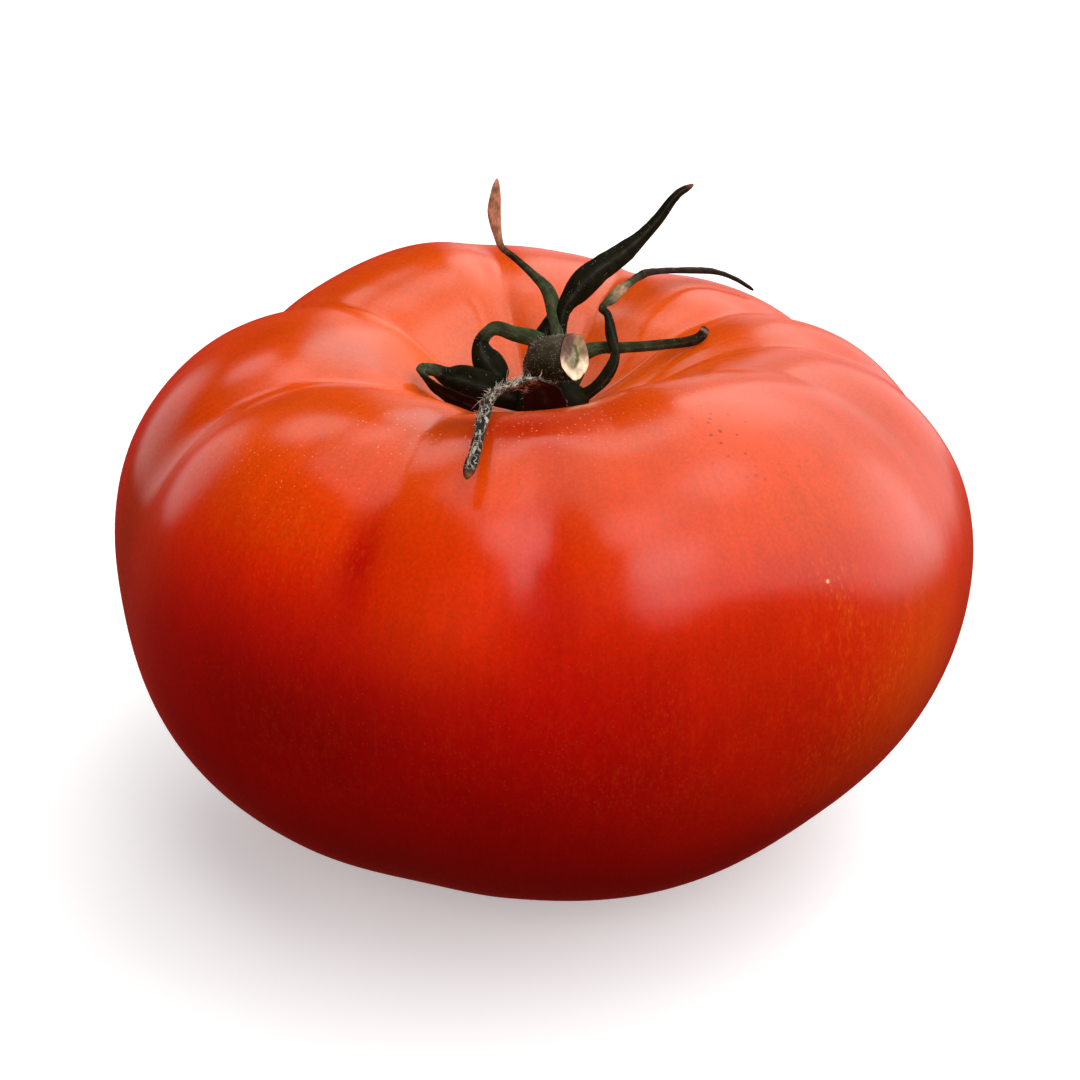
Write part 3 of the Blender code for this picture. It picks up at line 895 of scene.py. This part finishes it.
def make_sepal(name, material):
    """A thin cupped blade along its route. Gives its rings, for the hairs."""
    face_way, *points = SEPALS[name]
    stops, root_thickness, tip_thickness, wave, wrinkle = SEPAL_FINISH[name]
    count = (len(points) - 1) * ROWS_PER_POINT + 1
    rows = curve_through(points, count)
    tangent, sides, faces = blade_frames(face_way, rows)
    along = np.linspace(0, 1, count)[:, None]
    taper = np.sqrt(1 - np.clip((along - 0.95) / 0.052, 0, 1) ** 2)
    width = rows[:, 3:4] * taper
    across = np.linspace(-1, 1, BLADE_COLUMNS)[None, :]
    reach = across * width / 2
    length = np.cumsum(np.linalg.norm(np.gradient(rows[:, :3], axis=0), axis=1))[:, None] + 0 * across
    thickness = (root_thickness + (tip_thickness - root_thickness) * along) * (1 - 0.6 * across**4) * taper
    ridges = wrinkle * wrinkled(reach, length, len(points)) * smooth_step(0.0, 0.2, along) * taper
    stand_off = BLADE_CUP * width * (1 - across**2) + wave * np.sin(along * 40 + across * 2) * across**2
    centre = rows[:, None, :3] + sides[:, None] * reach[..., None] + faces[:, None] * stand_off[..., None]
    normal = faces[:, None] + sides[:, None] * (4 * BLADE_CUP * across)[..., None]
    normal /= np.linalg.norm(normal, axis=2)[..., None]
    upper = centre + normal * (thickness / 2 + ridges)[..., None]
    lower = centre - normal * (thickness / 2 - 0.5 * ridges)[..., None]
    rings = np.concatenate([upper, lower[:, ::-1]], axis=1)
    ends = np.stack([rings[0].mean(0), rings[-1].mean(0) + tangent[-1] * 0.05])
    blade = colour_along(stops, along[:, 0])[:, None] + 0.02 * np.exp(-((across / 0.15) ** 2))[..., None]
    colours = np.concatenate([blade, blade[:, ::-1] * 0.8], axis=1)
    piece = loft("sepal_" + name, rings, ends, material, colours)
    weave = np.stack([reach / 0.3, length / 2.0, 0 * length], axis=-1)
    weave = np.concatenate([weave, weave[:, ::-1] + (0, 0, 5)], axis=1).reshape(-1, 3)
    store_vector(piece.data, "weave", np.vstack([weave, weave[:1], weave[-1:]]))
    dry = smooth_step(0.28, 0.36, along) * (1 - smooth_step(0.97, 0.99, along))
    store_value(piece.data, "dry", np.append(np.repeat(dry, rings.shape[1]), [0, 0]))
    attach(piece, "root")
    return rings


def make_hairs(name, roots, ways, lengths, thickness, colours, material, chance):
    """Thin bent cones, one from each root, given in millimetres."""
    count = len(roots)
    along = np.linspace(0, 1, HAIR_STEPS)
    bend = chance.normal(0, 0.7, (count, 3))
    side = np.cross(ways, chance.normal(0, 1, (count, 3)))
    side /= np.linalg.norm(side, axis=1)[:, None]
    other = np.cross(ways, side)
    points = []
    for share in along:
        middle = roots + (ways * share + bend * share**2) * lengths[:, None]
        radius = thickness * (1 - 0.8 * share)
        for turn in (0, 120, 240):
            angle = math.radians(turn)
            points.append(middle + (side * math.cos(angle) + other * math.sin(angle)) * radius)
    points = np.stack(points, axis=1).reshape(-1, 3) * MM
    each = 3 * HAIR_STEPS
    faces = []
    for first in range(0, count * each, each):
        faces.append((first + 2, first + 1, first))
        faces.append((first + each - 3, first + each - 2, first + each - 1))
        for row in range(first, first + each - 3, 3):
            for k in range(3):
                faces.append((row + k, row + (k + 1) % 3, row + (k + 1) % 3 + 3, row + k + 3))
    mesh = bpy.data.meshes.new(name)
    mesh.from_pydata(points.tolist(), [], faces)
    mesh.shade_smooth()
    store_colour(mesh, "paint", np.repeat(colours, each, axis=0))
    mesh.materials.append(material)
    piece = bpy.data.objects.new(name, mesh)
    bpy.context.scene.collection.objects.link(piece)
    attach(piece, "root")
    return piece


def grow_hairs(name, rings, around, patch, material, chance):
    """Hairs on the first columns of a tube of rings, as many columns as around says."""
    first, last, count, shortest, longest, thickness = patch
    rows = chance.uniform(first, last, count) * (len(rings) - 1)
    row = rows.astype(int)
    column = chance.integers(0, around, count)
    roots = rings[row, column]
    outward = roots - rings[row].mean(axis=1)
    outward /= np.linalg.norm(outward, axis=1)[:, None] + 1e-6
    forward = rings[np.minimum(row + 1, len(rings) - 1), column] - roots
    forward /= np.linalg.norm(forward, axis=1)[:, None] + 1e-6
    ways = outward + forward * chance.normal(0.1, 0.6, (count, 1))
    ways = ways + chance.normal(0, 0.3, (count, 3)) + (0, 0, 0.4)
    ways /= np.linalg.norm(ways, axis=1)[:, None]
    lengths = chance.uniform(shortest, longest, count) * chance.uniform(0.5, 1, count)
    colours = np.array(HAIR_COLOUR) * chance.uniform(0.7, 1.0, (count, 1))
    return make_hairs(name, roots, ways, lengths, thickness, colours, material, chance)


def make_hub(material):
    """A flattened ball with eight faint ribs, cut flat underneath."""
    polar = np.radians(np.linspace(2, 178, HUB_RINGS))[:, None]
    turn = np.linspace(0, 2 * math.pi, HUB_SIDES, endpoint=False)[None, :]
    radius = HUB_RADIUS * np.sin(polar) * (1 + 0.05 * np.cos(8 * turn))
    height = np.maximum(HUB_CENTRE[2] - HUB_HALF_HEIGHT * np.cos(polar), HUB_UNDERSIDE) + 0 * turn
    x, y = HUB_CENTRE[0] + radius * np.cos(turn), HUB_CENTRE[1] + radius * np.sin(turn)
    rings = np.stack([x, y, height], axis=-1)
    ends = np.stack([rings[0].mean(0), rings[-1].mean(0)])
    # Painted shade: the hub takes the near-black shaded green
    colours = np.zeros(rings.shape) + SHADED_GREEN
    piece = loft("hub", rings, ends, material, colours)
    store_vector(piece.data, "weave", np.vstack([rings.reshape(-1, 3), ends]) * 2)
    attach(piece, "root")
    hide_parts("calyx")


def make_calyx(chance):
    """The hub, the sepals, their hairs and the side shoot. Gives the hairs' material, for the stub."""
    fresh, dried, hair = sepal_material(), dried_material(), hair_material()
    make_hub(fresh)
    surfaces = {name: make_sepal(name, dried if name == DRIED_SEPAL else fresh) for name in SEPALS}
    for k, (name, *patch) in enumerate(HAIR_PATCHES):
        piece = grow_hairs("hairs_%d_%s" % (k, name), surfaces[name], BLADE_COLUMNS, patch, hair, chance)
    make_twig(hair, chance)
    return hair


def make_twig(material, chance):
    """A thin yellowish side shoot that stands on the front sepal."""
    length = math.dist(TWIG_ROOT, TWIG_TIP)
    way = (np.array(TWIG_TIP) - TWIG_ROOT) / length
    root, lengths, colour = np.array([TWIG_ROOT]), np.array([length]), np.array([TWIG_COLOUR])
    piece = make_hairs("twig", root, way[None], lengths, TWIG_THICKNESS, colour, material, chance)


def cut_colour(right, up):
    """Colours of the cut face: a pale rim low down, a greenish middle with a slit, and a dried top."""
    cream, brown, fibre = np.array(RIM_COLOUR), np.array(BROWN_COLOUR), np.array(FIBRE_COLOUR)
    low = smooth_step(0.15, -0.25, up + 0.25 * right)[..., None]
    right_side = smooth_step(0.2, 0.6, right)[..., None]
    upper = brown + (fibre - brown) * right_side
    rim = upper + (cream - upper) * low
    middle = np.array(MIDDLE_COLOUR) + 0 * rim
    top = smooth_step(0.0, 0.35, up - 0.5 * right)[..., None]
    middle += (brown - middle) * top
    slit_place = 0.10 + 0.28 * smooth_step(-0.55, 0.0, up) - 0.12 * smooth_step(0.3, 0.8, up)
    slit = np.exp(-(((right - slit_place) / 0.12) ** 2)) * smooth_step(-0.6, -0.35, up)
    middle += (np.array(SLIT_COLOUR) - middle) * slit[..., None]
    edge = smooth_step(0.46, 0.62, np.hypot(right, up))[..., None]
    return middle + (rim - middle) * edge


def make_stalk(hair, chance):
    """The bent stub, which ends in rings that run in over its cut face."""
    rows = curve_through(STALK, STALK_ROWS)
    tangent, sides, faces = blade_frames(STALK_FACE, np.hstack([rows, np.zeros((len(rows), 1))]))
    turn = np.linspace(0, 2 * math.pi, STALK_SIDES, endpoint=False)[None, :]
    radial = sides[:, None] * np.cos(turn)[..., None] + faces[:, None] * np.sin(turn)[..., None]
    ribs = 0.03 * np.cos(5 * turn) + 0.012 * np.cos(13 * turn + 1)
    radius = rows[:, 3:4] * (1 + ribs)
    rings = rows[:, None, :3] + radial * radius[..., None]
    share = np.linspace(1, 0.04, CUT_RINGS)[:, None] + 0 * turn
    right_way = np.cross((0, 0, 1), tangent[-1])
    right_way /= np.linalg.norm(right_way)
    right = radial[-1].dot(right_way) * share
    up = radial[-1].dot(np.cross(tangent[-1], right_way)) * share
    sink = -0.35 * smooth_step(0.98, 0.6, share) + 0.15 * np.cos(9 * turn) * share * (1 - share)
    cut_rings = rows[-1, :3] + radial[-1] * (radius[-1] * share)[..., None] + tangent[-1] * sink[..., None]
    # Partly painted light: the side turns lighter and greyer towards the top, where the fuzz catches the
    # light
    high = smooth_step(54.5, 59.5, rings[..., 2:])
    side_colour = np.array(STEM_GREEN) + np.array(STEM_GREY_AND_LIGHT) * high**3
    colours = np.concatenate([side_colour, cut_colour(right, up)])
    closed = np.concatenate([rings, cut_rings])
    ends = np.stack([closed[0].mean(0), closed[-1].mean(0)])
    piece = loft("stalk_stub", closed, ends, stalk_material(), colours)
    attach(piece, "root")
    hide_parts("stalk")
    fuzz = grow_hairs("stalk_fuzz", rings, STALK_SIDES, STALK_FUZZ, hair, chance)


def make_camera():
    camera = bpy.data.objects.new("camera", bpy.data.cameras.new("camera"))
    camera.data.lens = LENS
    camera.data.sensor_width = 36
    camera.data.clip_start = 0.01
    tilt = math.radians(CAMERA_ELEVATION)
    offset = Vector((0, -math.cos(tilt), math.sin(tilt))) * CAMERA_DISTANCE
    camera.location = Vector(AIM) + offset
    camera.rotation_euler = (math.pi / 2 - tilt, 0, 0)
    bpy.context.scene.collection.objects.link(camera)
    bpy.context.scene.camera = camera


def add_stage(name, points, faces, glow):
    """A plain surface that the skin doesn't reflect, since the tomato stood on something dark."""
    mesh = bpy.data.meshes.new(name)
    mesh.from_pydata(points, [], faces)
    mesh.materials.append(stage_material(name, glow))
    stage = bpy.data.objects.new(name, mesh)
    bpy.context.scene.collection.objects.link(stage)
    stage.visible_glossy = False
    stage.visible_diffuse = False
    return stage


def make_stage():
    """A square floor, and a round wall far behind it that only the camera sees."""
    reach, sides = STAGE_RADIUS, STAGE_SIDES
    corners = [(-reach, -reach, 0), (reach, -reach, 0), (reach, reach, 0), (-reach, reach, 0)]
    add_stage("floor", corners, [(0, 1, 2, 3)], FLOOR_GLOW)
    turns = [2 * math.pi * k / sides for k in range(sides)]
    circle = [(reach * math.cos(turn), reach * math.sin(turn)) for turn in turns]
    points = [(x, y, height) for height in (0, reach) for x, y in circle]
    faces = [(k, (k + 1) % sides, (k + 1) % sides + sides, k + sides) for k in range(sides)]
    backdrop = add_stage("backdrop", points, faces, BACKDROP_GLOW)
    backdrop.visible_shadow = False
    backdrop.visible_transmission = False


def light_direction(azimuth, elevation):
    turn, rise = math.radians(azimuth), math.radians(elevation)
    return (math.cos(rise) * math.cos(turn), math.cos(rise) * math.sin(turn), math.sin(rise))


def facing(tree, way, direction, low, high):
    """0 where the sky's way leans less than low along a direction, and 1 where it leans more than high."""
    dot = node(tree, "ShaderNodeVectorMath", {0: way, 1: direction}, operation="DOT_PRODUCT")
    return remap(tree, dot.outputs["Value"], low, high)


def sky_spot(tree, way, azimuth, elevation, outer, inner, amount):
    """A round soft spot in the sky, of the given amount in its middle."""
    low, high = math.cos(math.radians(outer)), math.cos(math.radians(inner))
    spot = facing(tree, way, light_direction(azimuth, elevation), low, high)
    return math_node(tree, "MULTIPLY", spot, amount)


def window_light(tree, way):
    """A broad window on the right and behind, from just below the horizon up, with darker places."""
    above = facing(tree, way, (0.02, 0.58, 1), -0.2, 0.0)
    above = math_node(tree, "MULTIPLY", above, facing(tree, way, (0, 0, 1), -0.34, -0.17))
    window = math_node(tree, "MULTIPLY", facing(tree, way, (1, 0.05, 0), -0.02, 0.09), above)
    bright = remap(tree, facing(tree, way, (0.92, -0.2, 0.34), -0.04, 0.08), 0, 1, 0.3, 1)
    window = math_node(tree, "MULTIPLY", window, bright)
    for spot in DARK_SPOTS:
        left = math_node(tree, "SUBTRACT", 1.0, sky_spot(tree, way, *spot))
        window = math_node(tree, "MULTIPLY", window, left)
    return window


def make_light():
    """Soft light from a window and a pale ceiling, round brighter places, and a red glow from below."""
    world = bpy.data.worlds.new("studio")
    bpy.context.scene.world = world
    world.use_nodes = True
    tree = world.node_tree
    way = node(tree, "ShaderNodeTexCoord").outputs["Generated"]
    ceiling = facing(tree, way, (0.88, 0.47, 0.42), 0.0, 0.12)
    ceiling = math_node(tree, "MULTIPLY", ceiling, facing(tree, way, (0, 0, 1), 0.78, 0.9))
    ceiling = math_node(tree, "MULTIPLY", ceiling, CEILING_SHARE)
    strength = math_node(tree, "MAXIMUM", window_light(tree, way), ceiling)
    strength = math_node(tree, "MULTIPLY", strength, WINDOW_STRENGTH)
    for spot in LIGHT_SPOTS:
        strength = math_node(tree, "ADD", strength, sky_spot(tree, way, *spot))
    below = remap(tree, facing(tree, way, (0, 0, -1), 0.1, 0.9), 0, 1, 1, 0.25)
    below = math_node(tree, "MULTIPLY", facing(tree, way, (0, 0, -1), -0.4, 0.0), below)
    glow = node(tree, "ShaderNodeVectorMath", {0: LOW_GLOW, 3: below}, operation="SCALE").outputs["Vector"]
    white = node(tree, "ShaderNodeCombineXYZ", {"X": strength, "Y": strength, "Z": strength})
    total = node(tree, "ShaderNodeVectorMath", {0: white.outputs["Vector"], 1: glow}, operation="ADD")
    tree.links.new(total.outputs["Vector"], tree.nodes["Background"].inputs["Color"])


def make_fill():
    """A soft lamp from the front left that lights the skin without showing in its gloss."""
    lamp = bpy.data.lights.new("fill", "AREA")
    lamp.shape = "DISK"
    lamp.size = FILL_SIZE
    lamp.energy = FILL_POWER
    fill = bpy.data.objects.new("fill", lamp)
    fill.location = Vector(light_direction(*FILL_PLACE)) * FILL_DISTANCE
    fill.rotation_euler = (Vector(FILL_AIM) - fill.location).to_track_quat("-Z", "Y").to_euler()
    fill.visible_glossy = False
    bpy.context.scene.collection.objects.link(fill)


def main():
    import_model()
    bpy.context.scene.view_settings.view_transform = "Standard"
    make_camera()
    make_stage()
    make_light()
    make_fill()
    make_fruit()
    chance = np.random.default_rng(SEED)
    hair = make_calyx(chance)
    make_stalk(hair, chance)


main()
